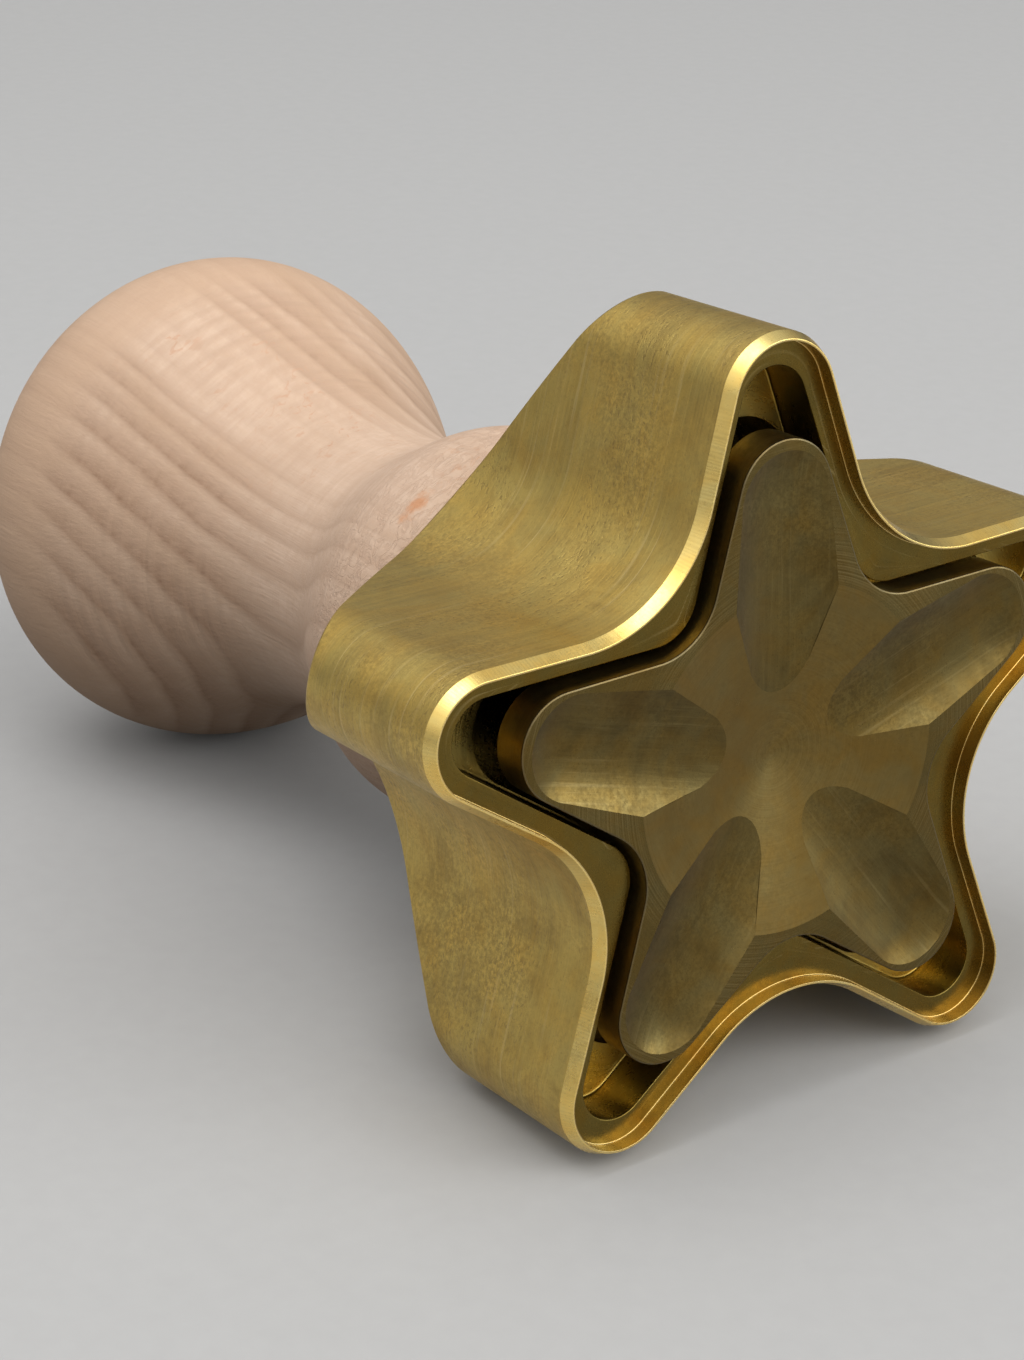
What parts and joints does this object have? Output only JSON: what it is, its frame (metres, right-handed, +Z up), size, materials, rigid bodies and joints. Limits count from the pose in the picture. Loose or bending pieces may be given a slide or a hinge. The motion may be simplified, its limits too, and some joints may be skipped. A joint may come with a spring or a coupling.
{
  "type": "ravioli stamp",
  "caption": "Star-shaped brass ravioli stamp with a bevelled cutting rim, a sprung ejector plate in its pocket and a turned wooden knob handle, lying on its side.",
  "frame": {"origin": "under the middle of the stamp's bounding box, on the table that it lies on", "axes": "+X along the tool towards the working face, which is raised by about 3.9 degrees because the knob is smaller than the star; +Z up, through the middle of the lobe that points up; +Y to the left seen from behind the handle"},
  "size_m": [0.1108, 0.069, 0.0672],
  "materials": {
    "cutter_brass": "machined, brushed and slightly tarnished",
    "ejector_brass": "milled, satin, browned at the sides",
    "insert_brass": "plain turned",
    "beech": "turned, raw and matte",
    "steel": "plain bright",
    "spring_steel": "drawn wire"
  },
  "bodies": {
    "cutter": {"cutter_body": "cutter_brass", "wooden_handle": "beech", "handle_stud": "steel", "handle_insert": "insert_brass", "spring_seat_washer": "steel", "ejector_spring": "spring_steel"},
    "ejector": {"ejector_plate": "ejector_brass", "ejector_stem": "steel", "stem_jam_nut": "steel", "stop_washer": "steel", "stop_nut": "steel"}
  },
  "joints": [
    {"name": "ejector_slide", "type": "slide", "parent": "cutter", "child": "ejector", "axis": [-0.9977, 0, -0.0675], "range_m": [0, 0.008], "stiffness_N_per_m": 480, "springref_m": -0.006, "deforming": ["ejector_spring"]}
  ]
}
